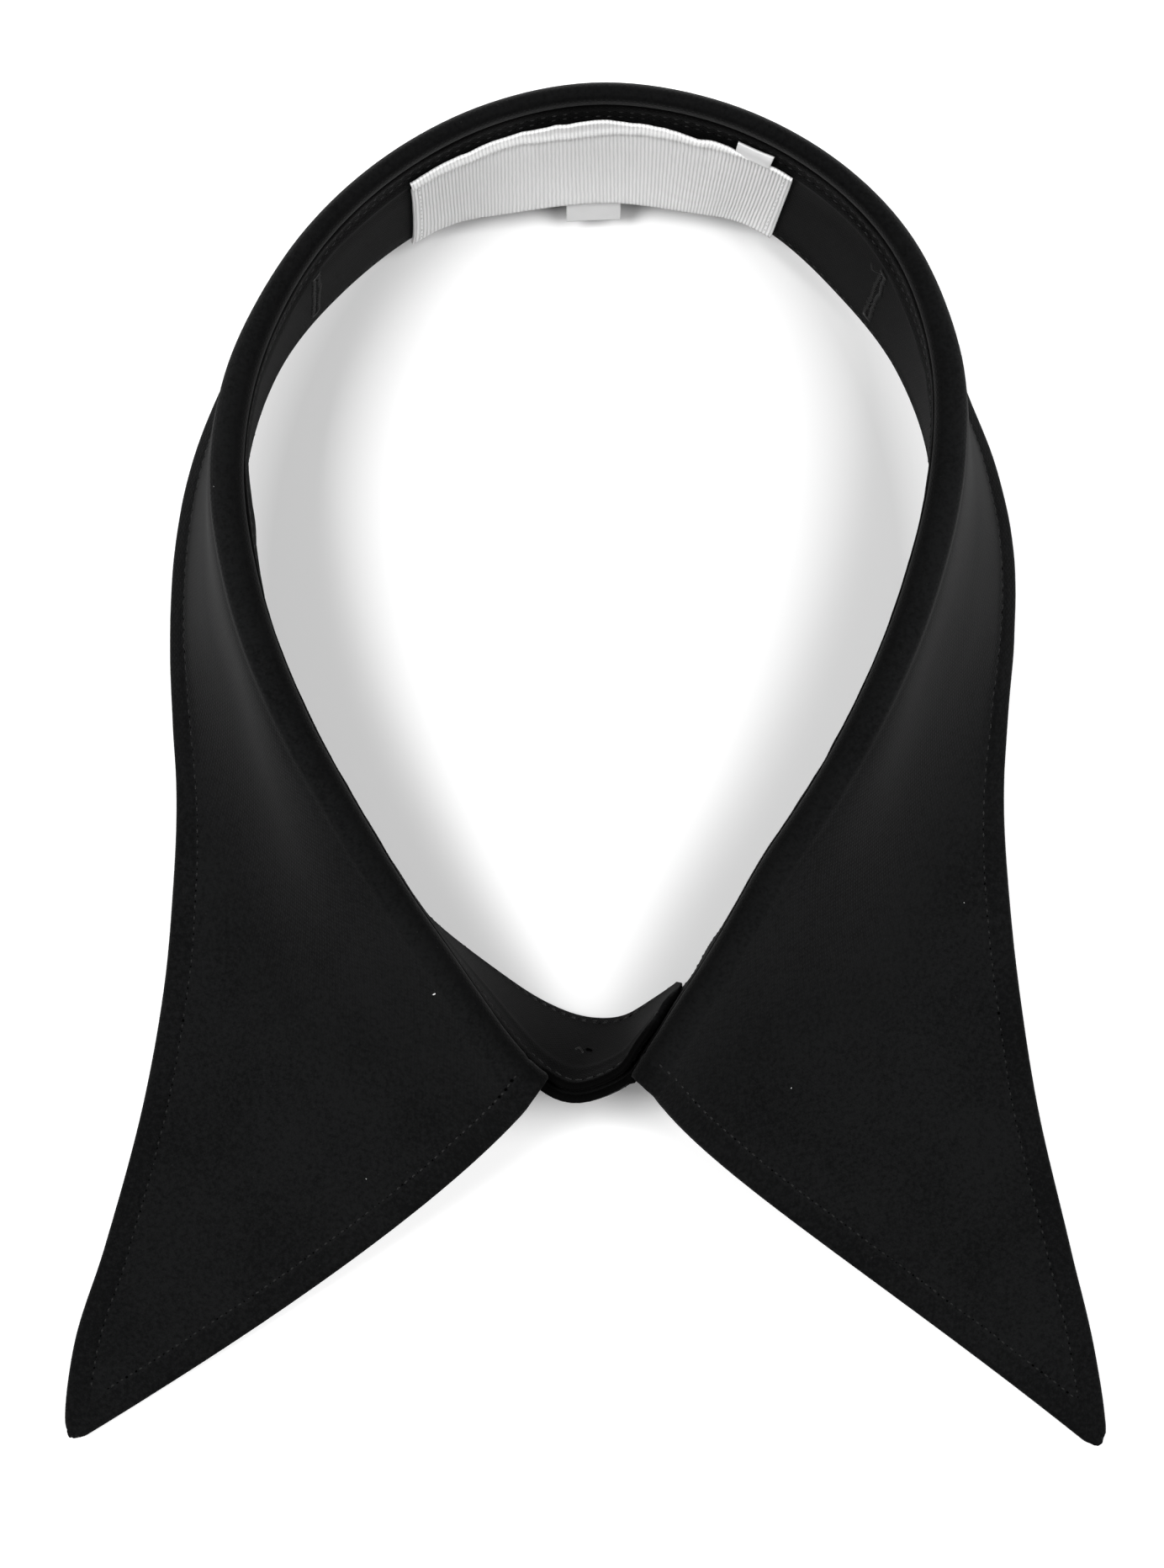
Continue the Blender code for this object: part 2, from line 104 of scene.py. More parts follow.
LEAF = [
    LeafRow(0, 2.0, 0, 176, 0.0, 3.0, 100.2, -90, 88, 0, 0, 0, 0, 0),
    LeafRow(18, 2.0, 0, 176, 18.4, 3.4, 97.0, -71, 88, 0, 0, 0, 0, 0),
    LeafRow(31, 2.1, 0, 175, 30.8, 3.5, 91.0, -53, 87, 0, 0, 0, 0, 0),
    LeafRow(52, 2.4, 0, 173, 45.8, 3.1, 76.9, -36, 85, 0, 0, 0, 0, 0),
    LeafRow(62, 2.8, 0, 171, 51.3, 2.1, 67.8, -22, 83, 0.4, 0, 0, 0, 0),
    LeafRow(71, 3.4, 0, 168, 56.0, 1.3, 57.1, -12, 80, 0.9, 0, 0, 0, 0),
    LeafRow(82, 3.8, 0, 162, 60.6, 1.3, 45.5, -5, 80, 1.4, 0, 0, 0, 0),
    LeafRow(95, 4.1, 0, 155, 63.5, 1.4, 31.5, 0, 76, 1.6, 0, 0, 0, 0),
    LeafRow(106, 4.2, 0, 149, 63.9, 1.1, 19.0, 3, 71, 1.6, 0, 0, 0, 0),
    LeafRow(117, 4.2, 0, 144, 63.4, 0.8, 7.0, 5, 56, 1.5, 0, 0, 0, 0),
    LeafRow(128, 4.2, 0, 135, 62.9, 0.8, -6.0, 7, 36, 1.1, 0, 0, 0, 0),
    LeafRow(140, 4.2, 0, 129, 63.6, 0.9, -20.0, 9, 13, 0.5, 0, 0, 0, 0),
    LeafRow(152, 4.2, 0, 127, 65.2, 1.0, -35.5, 12, 2, 0, 0, 0.5, 1, 0),
    LeafRow(163, 4.2, 0, 128, 68.0, 0.8, -52.0, 17, 0, 0, 0, 2.5, 3, -1.5),
    LeafRow(177, 4.3, 0.3, 131, 73.6, 0.4, -74.3, 24, 0, 0, 0.1, 5, 8, -3),
    LeafRow(186, 4.4, 1.0, 132, 77.8, -0.1, -89.9, 28, 0, 0, 0.4, 7, 11, -5),
    LeafRow(190, 4.5, 1.5, 132, 79.0, 0.0, -98.0, 30, 0, 0, 0.6, 7.5, 12.5, -5.5),
    LeafRow(NOTCH, 4.6, 2.0, 131, 79.4, 0.2, -105.3, 31, 0, 0, 0.9, 8, 13.5, -6),
]

# Sewing, in millimetres
EDGE_INSET = 3.7
FRONT_INSET = 4.3
STITCH_PITCH = 1.65
STITCH_LENGTH = 0.75
STITCH_WIDTH = 0.34
PIT_LENGTH = 0.6
PIT_WIDTH = 0.46
CORNER_REACH = 9.5
SEAM_STITCH_DEPTH = 2.0
FACING_STITCH_DEPTH = 3.7
FOOT_STITCH_RISE = 2.0


def hermite(knots, values, at, end_slopes=(None, None)):
    """Smooth curve through values at knots; a slope is given or taken from the neighbours."""
    last = len(knots) - 1
    spot = next((i for i in range(last) if at < knots[i + 1]), last - 1)
    rises = [(b - a) / (q - p) for (p, a), (q, b) in pairwise(zip(knots, values))]

    def slope(i):
        if i == 0:
            return rises[0] if end_slopes[0] is None else end_slopes[0]
        if i == last:
            return rises[-1] if end_slopes[1] is None else end_slopes[1]
        before, after = knots[i] - knots[i - 1], knots[i + 1] - knots[i]
        return (rises[i - 1] * after + rises[i] * before) / (before + after)

    span = knots[spot + 1] - knots[spot]
    t = (at - knots[spot]) / span
    return (
        values[spot] * (1 + 2 * t) * (1 - t) ** 2
        + slope(spot) * span * t * (1 - t) ** 2
        + values[spot + 1] * t * t * (3 - 2 * t)
        + slope(spot + 1) * span * t * t * (t - 1)
    )


def column(rows, name, at, odd=False):
    """A table's column at a length along the seam; an odd one runs straight through zero."""
    slopes = (None, None) if odd else (0, 0)
    return hermite([row.along for row in rows], [getattr(row, name) for row in rows], at, slopes)


def smoothstep(low, high, at):
    t = min(1.0, max(0.0, (at - low) / (high - low)))
    return t * t * (3 - 2 * t)


def bump_at(centre, width, at):
    """A soft ridge of height 1 about its centre."""
    return math.exp(-(((at - centre) / width) ** 2))


def wander(at, size, seed):
    """Smooth, uneven, repeatable ups and downs between about -1 and 1."""
    return 2 * noise.noise(Vector((at / size, seed * 7.31, seed * 1.77)))


def folded(along):
    """The side and the length from the centre back of the section that a place lies in."""
    side, length = (1, along) if along >= 0 else (-1, -along)
    return (side, length) if length <= CENTRE_FRONT else (-side, 2 * CENTRE_FRONT - length)


def seam_plan(along):
    side, length = folded(along)
    x = column(RING, "middle", length) + side * column(RING, "half_width", length, odd=True)
    return Vector((x, column(RING, "y", length) - ORIGIN_Y, column(RING, "z", length)))


def foot_plan(along):
    side, length = folded(along)
    x = column(RING, "foot_middle", length) + side * column(RING, "foot_half", length, odd=True)
    return Vector((x, column(RING, "foot_y", length) - ORIGIN_Y, column(RING, "foot_z", length)))


def outward(along, line=seam_plan):
    """Unit vector in plan, square to a line round the ring and away from the neck."""
    step = 0.5
    run = line(along + step) - line(along - step)
    return Vector((-run.y, run.x, 0)).normalized()


def lap_shift(along):
    """Near the front the wearer's left passes outside the right."""
    side = 1 if along >= 0 else -1
    return side * LAP_STEP * smoothstep(LAP_STARTS, LAP_FULL, abs(along))


def seam_point(along):
    return seam_plan(along) + outward(along) * lap_shift(along)


def foot_point(along):
    """Just past the inner lap's end the outer lap's foot tucks in against it."""
    tuck = FOOT_TUCK * math.exp(-(((along - TUCK_AT) / TUCK_WIDTH) ** 2))
    return foot_plan(along) + outward(along, foot_plan) * (lap_shift(along) - tuck)


class StandSection:
    """The stand's cloth at one place along the seam: its top, its way down and its face."""

    def __init__(self, along):
        self.along = along
        self.top = seam_point(along)
        run = foot_point(along) - self.top
        self.height = run.length
        self.down = run.normalized()
        out = outward(along)
        self.face = (out - self.down * out.dot(self.down)).normalized()

    def point(self, depth, off=0.0):
        return self.top + self.down * depth + self.face * off


def fold_point(width, angle):
    """The fold's section: out from the seam and up, from 0 at the seam to 180 degrees."""
    turn = math.radians(angle)
    cos, sin = math.cos(turn), math.sin(turn)
    out = width / 2 * (1 - math.copysign(abs(cos) ** ROLL_SQUARENESS, cos))
    return out, ROLL_RISE * abs(sin) ** ROLL_SQUARENESS


def leaf_edge(along):
    """The outer edge's point, and the direction in which the cloth arrives there."""
    side = 1 if along >= 0 else -1
    length = abs(along)
    tilt = math.radians(column(LEAF, "tilt", length))
    turn = column(LEAF, "turn", length) if side > 0 else 0
    heading = math.radians(column(LEAF, "heading", length) + turn)
    x = column(LEAF, "middle", length) + side * column(LEAF, "half_width", length, odd=True)
    y = hermite([row.along for row in LEAF], [row.y for row in LEAF], length, (0, None))
    y -= side * column(LEAF, "forward", length)
    point = Vector((x, y - ORIGIN_Y, CLOTH / 2 * math.cos(tilt)))
    plan = Vector((side * math.cos(heading), -math.sin(heading), 0))
    return point, plan * math.cos(tilt) - Vector((0, 0, math.sin(tilt)))


def leaf_seam(along):
    """Where along the stand's seam the leaf's own length meets it: it has slipped at the front."""
    return along - LEAF_SLIP * smoothstep(LAP_STARTS, NOTCH, abs(along))


class LeafSection:
    """The leaf's cloth at one place along the seam, as a run of points from seam to edge."""

    FOLD_SAMPLES = 36
    FLANK_SAMPLES = 90

    def __init__(self, along):
        self.along = along
        length = abs(along)
        width = column(LEAF, "fold_width", length)
        if along < 0:
            width += column(LEAF, "right_fold", length)
        leaves = column(LEAF, "leaves", length)
        tilt = column(LEAF, "tilt", length)
        seam = leaf_seam(along)
        self.out = outward(seam)
        base = seam_point(seam) + Vector((0, 0, SEAM_GAP))

        def on_fold(angle):
            across, up = fold_point(width, angle)
            return base + self.out * across + Vector((0, 0, up))

        start, before = on_fold(leaves), on_fold(leaves - 1)
        end, arrives = leaf_edge(along)
        reach = (end - start).length
        first = start + turned(start - before, along) * FOLD_PULL * reach
        second = end - arrives * EDGE_PULL * reach
        self.points = [on_fold(leaves * k / self.FOLD_SAMPLES) for k in range(self.FOLD_SAMPLES)]
        for k in range(self.FLANK_SAMPLES + 1):
            t = k / self.FLANK_SAMPLES
            point = start * (1 - t) ** 3 + first * (3 * t * (1 - t) ** 2)
            point += second * (3 * t * t * (1 - t)) + end * t**3
            point -= flare(along, point, end, t)
            self.points.append(laid_flat(point, tilt))
        self.runs = [0.0]
        for first, second in pairwise(self.points):
            self.runs.append(self.runs[-1] + (second - first).length)
        self.length = self.runs[-1]
        self.crease = self.runs[round(self.FOLD_SAMPLES * 0.93)]

    def point(self, run):
        """The point at a length along the section, found between two samples."""
        low, high = 0, len(self.runs) - 1
        while high - low > 1:
            middle = (low + high) // 2
            low, high = (middle, high) if self.runs[middle] <= run else (low, middle)
        share = (run - self.runs[low]) / (self.runs[high] - self.runs[low])
        return self.points[low].lerp(self.points[high], share)


def turned(run, along):
    """The way the cloth leaves the fold, turned a little to the front or the back."""
    veer = column(LEAF, "veer_left" if along >= 0 else "veer_right", abs(along))
    side = 1 if along >= 0 else -1
    return Matrix.Rotation(math.radians(-side * veer), 3, "Z") @ run.normalized()


def flare(along, point, end, t):
    """How far the flank stands in from its plain curve, so that its edge turns out below it."""
    side = 1 if along >= 0 else -1
    heading = math.radians(column(LEAF, "heading", abs(along)))
    depth = column(LEAF, "flare", abs(along)) * smoothstep(0, 0.6, t)
    depth *= 1 - math.exp(-(((end - point).length / FLARE_WIDTH) ** 2))
    return Vector((side * math.cos(heading), -math.sin(heading), 0)) * depth


def laid_flat(point, tilt):
    """Near the points the cloth lies on the table, so the last of its slope is taken out."""
    clear = point.z - CLOTH / 2
    if tilt < 1 and clear < REST_BLEND:
        share = max(0.0, clear - REST_HEIGHT) / (REST_BLEND - REST_HEIGHT)
        point.z = CLOTH / 2 + REST_BLEND * share
    return point


def tip_rounder(side):
    """A function that pulls a plan point inside the small radius at one point of the leaf."""
    tip, _ = leaf_edge(side * NOTCH)
    front = LeafSection(side * NOTCH)
    up_edge = (leaf_edge(side * (NOTCH - 1))[0] - tip).normalized()
    up_front = (front.point(front.length - 4) - tip).normalized()
    middle = (up_edge + up_front).normalized()
    spread = math.sin(up_edge.angle(up_front) / 2)
    centre = tip + middle * TIP_RADIUS / spread

    def rounded(point):
        away = point - centre
        away.z = 0
        beyond = away.dot(middle) < -TIP_RADIUS * spread
        if beyond and away.length > TIP_RADIUS and (point - tip).length < TIP_REACH:
            point.xy = (centre + away.normalized() * TIP_RADIUS).xy
        return point

    return rounded


def grid(columns, rows):
    """A bmesh grid, with the column and row of each vertex."""
    shape = bmesh.new()
    bmesh.ops.create_grid(shape, x_segments=columns, y_segments=rows, size=0.5)
    shape.verts.ensure_lookup_table()
    spots = [(round((v.co.x + 0.5) * columns), round((0.5 - v.co.y) * rows)) for v in shape.verts]
    return shape, spots


def finished(shape, name):
    """A mesh object at the origin that rides on the collar."""
    mesh = bpy.data.meshes.new(name)
    shape.to_mesh(mesh)
    shape.free()
    mesh.shade_smooth()
    piece = bpy.data.objects.new(name, mesh)
    bpy.context.scene.collection.objects.link(piece)
    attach(piece, "root")
    return piece


def cloth_wall(name, columns, rows, place, thickness):
    """A wall of cloth on a grid. place gives a vertex's point, its map position and its distance
    from the edge, in millimetres, and how full the wall is there."""
    shape, spots = grid(columns, rows)
    maps = shape.loops.layers.uv.new("cloth")
    edge = shape.verts.layers.float.new("edge")
    weight = shape.verts.layers.deform.verify()
    where = {}
    for vertex, (i, j) in zip(shape.verts, spots):
        made = place(i, j)
        vertex.co = made.point * MM
        vertex[edge] = made.edge
        vertex[weight][0] = made.fullness
        where[vertex] = made.map
    for face in shape.faces:
        for loop in face.loops:
            loop[maps].uv = where[loop.vert]
    piece = finished(shape, name)
    piece.vertex_groups.new(name="fullness")
    wall = piece.modifiers.new("wall", "SOLIDIFY")
    wall.thickness = thickness * MM
    wall.offset = 0
    wall.use_even_offset = False
    wall.vertex_group = "fullness"
    wall.thickness_vertex_group = 0
    return piece


ClothVertex = namedtuple("ClothVertex", "point map edge fullness")


def turned_edge(distance, radius=0.75, least=0.14):
    """How full the wall is near a turned edge: round, and full from the radius inwards."""
    if distance >= radius:
        return 1.0
    return max(least, math.sqrt(1 - (1 - distance / radius) ** 2))


# The leaf: its wall, its steps and the runs of close rows at its fold and edge
LEAF_WALL = 1.3
LEAF_HALF_COLUMNS = 150
LEAF_EASE = 1.5
FOLD_RUN, FOLD_ROWS = 9.0, 22
EDGE_RUN, EDGE_ROWS = 6.0, 13
FIELD_ROWS = 34
FRONT_STEPS = 220


def leaf_rows(length):
    """Runs down one section: close over the fold and at the edge, wider between."""
    fold = [FOLD_RUN * k / FOLD_ROWS for k in range(FOLD_ROWS)]
    field = length - FOLD_RUN - EDGE_RUN
    middle = [FOLD_RUN + field * k / FIELD_ROWS for k in range(FIELD_ROWS)]
    return fold + middle + [length - EDGE_RUN * (1 - k / EDGE_ROWS) for k in range(EDGE_ROWS + 1)]


def border_of(sections):
    """The leaf's free edge from notch to notch, as points with their lengths along it."""
    first, last = sections[0], sections[-1]
    steps = FRONT_STEPS
    path = [first.point(first.length * k / steps) for k in range(steps)]
    path += [section.points[-1] for section in sections]
    path += [last.point(last.length * (1 - k / steps)) for k in range(1, steps + 1)]
    return path


class Border:
    """Distances from the leaf's free edge, and lengths along it."""

    STEP = 0.2

    def __init__(self, path):
        self.points, self.runs = [], []
        total = 0.0
        for first, second in pairwise(path):
            length = (second - first).length
            parts = max(1, round(length / self.STEP))
            for k in range(parts):
                self.points.append(first.lerp(second, k / parts))
                self.runs.append(total + length * k / parts)
            total += length
        self.length = total
        self.tree = kdtree.KDTree(len(self.points))
        for k, point in enumerate(self.points):
            self.tree.insert(point, k)
        self.tree.balance()

    def nearest(self, point):
        _, spot, distance = self.tree.find(point)
        return distance, self.runs[spot]


def leaf_columns():
    half = [NOTCH * (1 - (1 - k / LEAF_HALF_COLUMNS) ** LEAF_EASE) for k in range(LEAF_HALF_COLUMNS + 1)]
    return [-at for at in reversed(half[1:])] + half


def make_leaf():
    sections = [LeafSection(at) for at in leaf_columns()]
    rows = [leaf_rows(section.length) for section in sections]
    border = Border(border_of(sections))
    rounders = {-1: tip_rounder(-1), 1: tip_rounder(1)}
    front = sections[0].length

    def place(i, j):
        section, run = sections[i], rows[i][j]
        point = section.point(run)
        ahead = section.point(min(section.length, run + 0.3))
        behind = section.point(max(0.0, run - 0.3))
        side_step = sections[min(i + 1, len(sections) - 1)].point(run) - sections[max(i - 1, 0)].point(run)
        up = side_step.cross(ahead - behind).normalized()
        if up.dot(Vector((0, 0, 1))) < 0 and run > FOLD_RUN:
            up = -up
        distance, along_edge = border.nearest(point)
        point = rounders[1 if section.along > 0 else -1](point)
        pressed = 1 - 0.75 * smoothstep(145, 170, abs(section.along))
        crease = 0.11 * bump_at(section.crease, 0.7, run) - 0.08 * bump_at(section.crease + 1.4, 0.9, run)
        crease *= pressed
        inset = FRONT_INSET if min(along_edge, border.length - along_edge) < front else EDGE_INSET
        groove = -0.06 * bump_at(inset, 0.45, distance)
        pucker = 0.06 * wander(along_edge, 4.0, 3) * bump_at(inset - 1.2, 1.6, distance)
        swell = 0.25 * wander(section.along, 34.0, 5) * smoothstep(6, 18, run)
        swell *= smoothstep(2.0, 14.0, point.z) * smoothstep(0, 10, section.length - run)
        out = section.out if run < FOLD_RUN else up
        point = point + out * (crease * smoothstep(0, 3, run)) + up * (groove + pucker + swell)
        point.z = max(point.z, CLOTH / 2 * smoothstep(0, 1.5, point.z))
        fullness = turned_edge(distance) * (1 - 0.22 * bump_at(inset, 0.55, distance))
        if distance > inset:
            fullness *= 1 - 0.12 * smoothstep(inset, inset + 1.5, distance)
        return ClothVertex(point, (section.along, run), distance, fullness)

    leaf = cloth_wall("leaf_cloth", len(sections) - 1, len(rows[0]) - 1, place, LEAF_WALL)
    return leaf, sections, border


# The stand: its wall, its steps and how far it reaches up under the fold
STAND_WALL = 1.25
STAND_HALF_COLUMNS = 170
STAND_ROWS = 34
STAND_TOP_REACH = 0.45
# How far the inner lap's end is pressed against the outer lap, and over what length
END_PRESS, END_PRESS_REACH = 0.45, 14.0


def rounded_end(along, radius):
    """How far an end's edge has turned in from its straight line at this place."""
    into = abs(along) - (CENTRE_FRONT + LAP - radius)
    return radius - math.sqrt(max(0.0, radius**2 - max(0.0, into) ** 2))


def seam_pucker(along):
    """The small uneven puckers that the neck seam's stitching draws up."""
    return 0.5 + 0.35 * wander(along, 3.2, 11) + 0.25 * wander(along, 7.5, 12)


def stand_sag(along, depth, height):
    """Slow waves in the stand's cloth, and the small swell at the wearer's right side."""
    wave = 0.35 * wander(along, 26.0, 21) * smoothstep(3, 12, depth) * smoothstep(-1, 5, height - depth)
    swell = -0.9 * bump_at(-95, 7.0, along) * bump_at(9, 7.0, depth)
    return wave + swell


def stand_face(section, depth, off=0.0):
    """A point on the stand's cloth with its seam ridge, puckers and slow waves."""
    along = section.along
    ridge = 0.3 * bump_at(0.9, 0.75, depth) * (0.7 + 0.6 * seam_pucker(along))
    ridge += 0.4 * bump_at(5.6 + 1.2 * wander(along, 19.0, 23), 0.8, depth)
    draw = 0.18 * bump_at(SEAM_STITCH_DEPTH, 0.45, depth)
    lapped = 1 - smoothstep(LAP_STARTS, LAP_FULL, abs(along))
    bend = (draw - ridge) * (0.45 + 0.55 * lapped) + stand_sag(along, depth, section.height) * lapped
    bend += END_PRESS * smoothstep(END_PRESS_REACH, 0, along + CENTRE_FRONT + LAP)
    return section.point(depth, off + bend)


def make_stand():
    end = CENTRE_FRONT + LAP
    half = [end * k / STAND_HALF_COLUMNS for k in range(STAND_HALF_COLUMNS + 1)]
    columns = [-at for at in reversed(half[1:])] + half
    sections = [StandSection(at) for at in columns]

    def place(i, j):
        section = sections[i]
        top = rounded_end(section.along, END_TOP_RADIUS)
        reach = STAND_TOP_REACH if abs(section.along) < NOTCH else 0.0
        foot = section.height - rounded_end(section.along, END_FOOT_RADIUS)
        depth = top - reach + (foot - top + reach) * j / STAND_ROWS
        to_end = end - abs(section.along)
        to_top = depth - top + (20 if abs(section.along) < NOTCH - 1 else 0)
        distance = min(foot - depth, to_end, to_top)
        fullness = turned_edge(max(0.0, distance))
        return ClothVertex(stand_face(section, depth), (section.along, depth), distance, fullness)

    return cloth_wall("stand_cloth", len(sections) - 1, STAND_ROWS, place, STAND_WALL)


# Sewing thread
class Surface:
    """A finished wall's outer skin, on which thread is laid."""

    def __init__(self, piece):
        graph = bpy.context.evaluated_depsgraph_get()
        shape = bmesh.new()
        shape.from_object(piece, graph)
        self.tree = BVHTree.FromBMesh(shape)
        shape.free()

    def face(self, point, towards):
        """The skin's point and normal met from outside, coming back along towards."""
        start = (point + towards * 2.5) * MM
        spot, normal, _, _ = self.tree.ray_cast(start, -towards, 6 * MM)
        if spot is None:
            spot, normal, _, _ = self.tree.find_nearest(point * MM)
        return spot / MM, normal


def add_stitch(shape, middle, run, normal, length, width):
    """One thread of a stitch: a long bead that dips into the cloth at both ends."""
    run = (run - normal * run.dot(normal)).normalized()
    side = normal.cross(run)
    turn = Matrix((run, side, normal)).transposed().to_4x4()
    size = Matrix.Diagonal((length / 2, width / 2, width / 2, 1))
    place = Matrix.Translation(middle * MM) @ turn @ Matrix.Scale(MM, 4) @ size
    bmesh.ops.create_icosphere(shape, subdivisions=1, radius=1, matrix=place)


def stitch_line(shape, pit_shades, surface, points, away_at, seed):
    """Stitches at an even pitch along a path laid on a surface, and between them dark blobs of painted
    shade for the needle holes.

    away_at gives the direction out of the cloth at a point."""
    path = [points[0]]
    for point in points[1:]:
        if (point - path[-1]).length > 0.05:
            path.append(point)
    runs = [0.0]
    for first, second in pairwise(path):
        runs.append(runs[-1] + (second - first).length)
    count = int(runs[-1] / STITCH_PITCH)
    spot = 0
    for k in range(count):
        at = (k + 0.5) * runs[-1] / count
        while spot < len(runs) - 2 and runs[spot + 1] < at:
            spot += 1
        share = (at - runs[spot]) / (runs[spot + 1] - runs[spot])
        point = path[spot].lerp(path[spot + 1], share)
        run = (path[spot + 1] - path[spot]).normalized()
        skin, normal = surface.face(point, away_at(point))
        drift = wander(k, 3.0, seed) * 0.06
        side = normal.cross(run).normalized()
        spot_on = skin + side * drift
        sink = 0.05 + 0.06 * wander(k, 1.7, seed + 9)
        add_stitch(shape, spot_on - normal * sink, run, normal, STITCH_LENGTH, STITCH_WIDTH)
        # Painted shade: a dark blob sunk just under the skin between two stitches stands for the shadow in
        # the needle hole.
        if pit_shades:
            pit_shade = spot_on + run * STITCH_PITCH / 2 - normal * PIT_WIDTH * 0.33
            add_stitch(pit_shades, pit_shade, run, normal, PIT_LENGTH, PIT_WIDTH)


def inset_paths(sections, border):
    """The topstitching's route: each front edge and the outer edge, meeting near the points."""
    paths = []
    for low, high in corner_runs(sections, border):
        path = []
        for point, run in zip(border.points, border.runs):
            if low <= run <= high:
                path.append((point, run))
        paths.append(path)
    return paths


def corner_runs(sections, border):
    """Lengths along the border between which each straight run of topstitching lies."""
    front = sections[0].length
    far = border.length - sections[-1].length
    return [
        (0.8, front - CORNER_REACH),
        (front + CORNER_REACH, far - CORNER_REACH),
        (far + CORNER_REACH, border.length - 0.8),
    ]


def inward_line(path, inset, sections):
    """Points of the border moved inwards over the cloth by the stitching's inset."""
    tree = kdtree.KDTree(sum(len(section.points) for section in sections))
    flat = [point for section in sections for point in section.points]
    for k, point in enumerate(flat):
        tree.insert(point, k)
    tree.balance()
    line = []
    step = 6
    for k in range(0, len(path) - 1, step):
        point, _ = path[k]
        run = (path[min(k + step, len(path) - 1)][0] - path[max(k - step, 0)][0]).normalized()
        around = [flat[spot] - point for _, spot, _ in tree.find_range(point, 2.5)]
        middle = sum(around, Vector()) / max(1, len(around))
        inward = (middle - run * middle.dot(run)).normalized()
        line.append(point + inward * inset)
    return line


# A place inside the ring, and where along y the leaf's edge turns from flat to steep
RING_HEART = Vector((1.5, 20, 12))
STEEP_STARTS, STEEP_FULL = 40.5, 68.0


def leaf_outward(point):
    """Away from the leaf's hidden side: up, and outwards where the leaf hangs."""
    away = point - RING_HEART
    away.z = 0
    steep = smoothstep(STEEP_STARTS, STEEP_FULL, point.y)
    return (Vector((0, 0, 1)) * (1 - steep) + away.normalized() * steep).normalized()


def make_topstitching(leaf, sections, border):
    surface = Surface(leaf)
    top, under, pit_shades = bmesh.new(), bmesh.new(), bmesh.new()
    for path, inset in zip(inset_paths(sections, border), (FRONT_INSET, EDGE_INSET, FRONT_INSET)):
        line = inward_line(path, inset, sections)

        stitch_line(top, pit_shades, surface, line, leaf_outward, seed=31)
        stitch_line(under, pit_shades, surface, line, lambda point: -leaf_outward(point), seed=32)
    return (
        [finished(top, "leaf_topstitching"), finished(under, "leaf_understitching")],
        finished(pit_shades, "leaf_stitch_pit_shades"),
    )


def stand_line(spans, depth_of, face_side):
    """Points along the stand at a depth, on its inner (-1) or outer (1) side."""
    low, high = spans
    steps = round((high - low) / 1.2)
    line = []
    for k in range(steps + 1):
        section = StandSection(low + (high - low) * k / steps)
        line.append(stand_face(section, depth_of(section), face_side * 0.6))
    return line


# A place inside the stand's ring
STAND_HEART = Vector((0.5, 25, 20))
FACING_REACH = 150


def make_stand_stitching(stand):
    """The row under the neck seam on both faces, and the row along the stand's foot and ends."""
    surface = Surface(stand)
    made, pit_shades = [], bmesh.new()
    for side, name in ((-1, "stand_inner_stitching"), (1, "stand_outer_stitching")):
        shape = bmesh.new()

        def away(point):
            return (STAND_HEART - point).normalized() * -side

        reach = CENTRE_FRONT + LAP - FRONT_INSET
        seam = stand_line((-reach + 8, reach - 8), lambda s: SEAM_STITCH_DEPTH + 0.1, side)
        facing = stand_line((-FACING_REACH, FACING_REACH), lambda s: FACING_STITCH_DEPTH, side)
        foot = stand_line((-reach, reach), lambda s: s.height - FOOT_STITCH_RISE, side)
        stitch_line(shape, pit_shades, surface, seam, away, seed=41 + side)
        stitch_line(shape, pit_shades, surface, foot, away, seed=44 + side)
        if side < 0:
            stitch_line(shape, pit_shades, surface, facing, away, seed=47)
        made.append(finished(shape, name))
    return made, finished(pit_shades, "stand_stitch_pit_shades")


# Label and tags
RIBBON = 0.45
LABEL_OFF = -(CLOTH / 2 + GAP + RIBBON / 2)


def ribbon_grid(name, span, depths, columns, rows, bend, skew=0.0):
    """A thin ribbon on the stand's inner face; bend lifts a place off it, in millimetres."""

    def place(i, j):
        across = span[0] + (span[1] - span[0]) * i / columns
        depth = depths[0] + (depths[1] - depths[0]) * j / rows
        lift, drop = bend(i / columns, j / rows)
        section = StandSection(across / (1 - STAND_TAPER * depth) + skew * depth)
        point = stand_face(section, depth + drop, LABEL_OFF - lift)
        return ClothVertex(point, (across, depth), 0.0, 1.0)

    return cloth_wall(name, columns, rows, place, RIBBON)


def label_bend(u, v):
    """The ribbon stands off between its sewn ends, most where its upper edge has buckled."""
    loose = math.sin(math.pi * u) ** 0.5
    buckle = 0.75 * bump_at(0.46, 0.13, u) + 0.4 * bump_at(0.72, 0.07, u) - 0.25 * bump_at(0.27, 0.06, u)
    fine = 0.16 * wander(u * 60, 4.0, 51) + 0.1 * wander(u * 60, 1.9, 52)
    lift = 0.12 * loose + (buckle + fine) * (1 - v) ** 2.2 * loose + 0.3 * bump_at(0.5, 0.25, u) * v**3
    drop = -1.5 * bump_at(0.47, 0.15, u) * (1 - v) ** 3 + 0.25 * wander(u * 60, 6.0, 53) * (1 - v) ** 4
    pull = 0.35 * (bump_at(0, 0.035, u) + bump_at(1, 0.035, u))
    return max(0.0, lift), drop + pull * (0.5 - v)


def tag_bend(u, v):
    return 0.35 * v + 0.15 * math.sin(math.pi * u) * v, 0.0


def folded_bend(u, v):
    return 0.25 * math.sin(math.pi * v) + 0.1 * u, 0.25 * math.sin(math.pi * u) - 0.4 * u * (1 - v)


